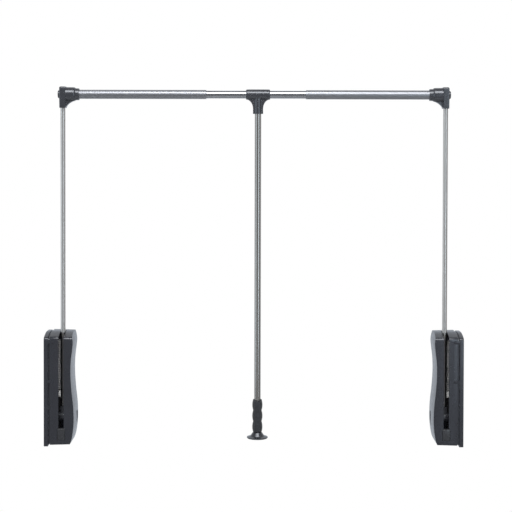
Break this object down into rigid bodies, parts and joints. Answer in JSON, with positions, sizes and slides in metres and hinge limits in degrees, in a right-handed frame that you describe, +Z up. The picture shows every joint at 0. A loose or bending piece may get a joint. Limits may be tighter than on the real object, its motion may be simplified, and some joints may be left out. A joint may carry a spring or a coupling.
{
  "type": "pull down closet rod",
  "caption": "Telescoping closet rail on two sprung arms that swing forward and down from side mounted housings, with a hanging pull rod to bring it within reach.",
  "frame": {"origin": "where the pivot axis of the arms meets the left wall face, on the back of the left mounting plate", "axes": "+X along the rail from the left wall to the right wall, -Y out of the closet towards the user, +Z up"},
  "size_m": [1.008, 0.077, 0.8654],
  "materials": {
    "case_plastic": "satin moulded anthracite",
    "badge_plastic": "bare inlay, satin",
    "joint_plastic": "satin moulded anthracite",
    "stop_rubber": "satin",
    "black_rubber": "matt",
    "foot_plastic": "satin",
    "white_nylon": "natural",
    "arm_steel": "satin grey plated",
    "rail_steel": "dark nickel plated",
    "rod_steel": "dark nickel plated",
    "spring_steel": "bright wire",
    "plain_steel": "zinc plated"
  },
  "bodies": {
    "left_housing": {"left_mounting_plate": "case_plastic", "left_outer_shell": "case_plastic", "left_inner_shell": "case_plastic", "left_badge_blank": "badge_plastic", "left_stop_block": "stop_rubber", "left_case_screw_1": "plain_steel", "left_case_screw_2": "plain_steel", "left_case_screw_3": "plain_steel", "left_pivot_pin": "plain_steel", "left_outer_pivot_bush": "white_nylon", "left_inner_pivot_bush": "white_nylon", "left_spring_guide_rod": "plain_steel", "left_spring_anchor": "joint_plastic", "left_rest_stop": "black_rubber", "left_damper_cylinder": "plain_steel", "left_lift_spring": "spring_steel"},
    "left_arm": {"left_arm_hub": "joint_plastic", "left_arm_rivet": "plain_steel", "left_arm_tube": "arm_steel", "left_elbow": "joint_plastic", "left_elbow_cap": "joint_plastic", "left_elbow_arm_screw": "plain_steel", "left_elbow_rail_screw": "plain_steel", "left_outer_rail_tube": "rail_steel"},
    "left_carriage": {"left_rack_carriage": "white_nylon", "left_damper_rod": "plain_steel"},
    "right_housing": {"right_mounting_plate": "case_plastic", "right_outer_shell": "case_plastic", "right_inner_shell": "case_plastic", "right_badge_blank": "badge_plastic", "right_stop_block": "stop_rubber", "right_case_screw_1": "plain_steel", "right_case_screw_2": "plain_steel", "right_case_screw_3": "plain_steel", "right_pivot_pin": "plain_steel", "right_outer_pivot_bush": "white_nylon", "right_inner_pivot_bush": "white_nylon", "right_spring_guide_rod": "plain_steel", "right_spring_anchor": "joint_plastic", "right_rest_stop": "black_rubber", "right_damper_cylinder": "plain_steel", "right_lift_spring": "spring_steel"},
    "right_arm": {"right_arm_hub": "joint_plastic", "right_arm_rivet": "plain_steel", "right_arm_tube": "arm_steel", "right_elbow": "joint_plastic", "right_elbow_cap": "joint_plastic", "right_elbow_arm_screw": "plain_steel", "right_elbow_rail_screw": "plain_steel", "right_outer_rail_tube": "rail_steel"},
    "right_carriage": {"right_rack_carriage": "white_nylon", "right_damper_rod": "plain_steel"},
    "centre_glides": {"left_tube_glide": "white_nylon", "right_tube_glide": "white_nylon"},
    "pull_rod": {"centre_rail_tube": "rail_steel", "tee_connector": "joint_plastic", "tee_screw": "plain_steel", "pull_rod": "rod_steel", "pull_grip": "black_rubber", "grip_foot": "foot_plastic"}
  },
  "joints": [
    {"name": "left_arm_pivot", "type": "hinge", "parent": "left_housing", "child": "left_arm", "pos_m": [0.0415, 0, 0], "axis": [1, 0, 0], "range_deg": [0, 110], "stiffness_Nm_per_rad": 2.6, "springref_deg": -34.38},
    {"name": "width_slide", "type": "slide", "parent": "left_housing", "child": "right_housing", "axis": [1, 0, 0], "range_m": [-0.168, 0.142]},
    {"name": "right_arm_pivot", "type": "hinge", "parent": "right_housing", "child": "right_arm", "pos_m": [0.9665, 0, 0], "axis": [1, 0, 0], "range_deg": [0, 110], "stiffness_Nm_per_rad": 2.6, "springref_deg": -34.38},
    {"name": "left_carriage_slide", "type": "slide", "parent": "left_housing", "child": "left_carriage", "axis": [0, 0, 1], "range_m": [0, 0.0433], "deforming": ["left_lift_spring"]},
    {"name": "right_carriage_slide", "type": "slide", "parent": "right_housing", "child": "right_carriage", "axis": [0, 0, 1], "range_m": [0, 0.0433], "deforming": ["right_lift_spring"]},
    {"name": "centre_tube_slide", "type": "slide", "parent": "left_arm", "child": "centre_glides", "axis": [1, 0, 0], "range_m": [-0.084, 0.071]},
    {"name": "pull_rod_swing", "type": "hinge", "parent": "centre_glides", "child": "pull_rod", "pos_m": [0.513, 0, 0.782], "axis": [1, 0, 0], "range_deg": [-115, 30]}
  ],
  "couplings": [
    {"joint": "right_arm_pivot", "follows": "left_arm_pivot", "ratio": 1},
    {"joint": "left_carriage_slide", "follows": "left_arm_pivot", "m_per_rad": 0.0225},
    {"joint": "right_carriage_slide", "follows": "left_arm_pivot", "m_per_rad": 0.0225},
    {"joint": "centre_tube_slide", "follows": "width_slide", "ratio": 0.5}
  ]
}
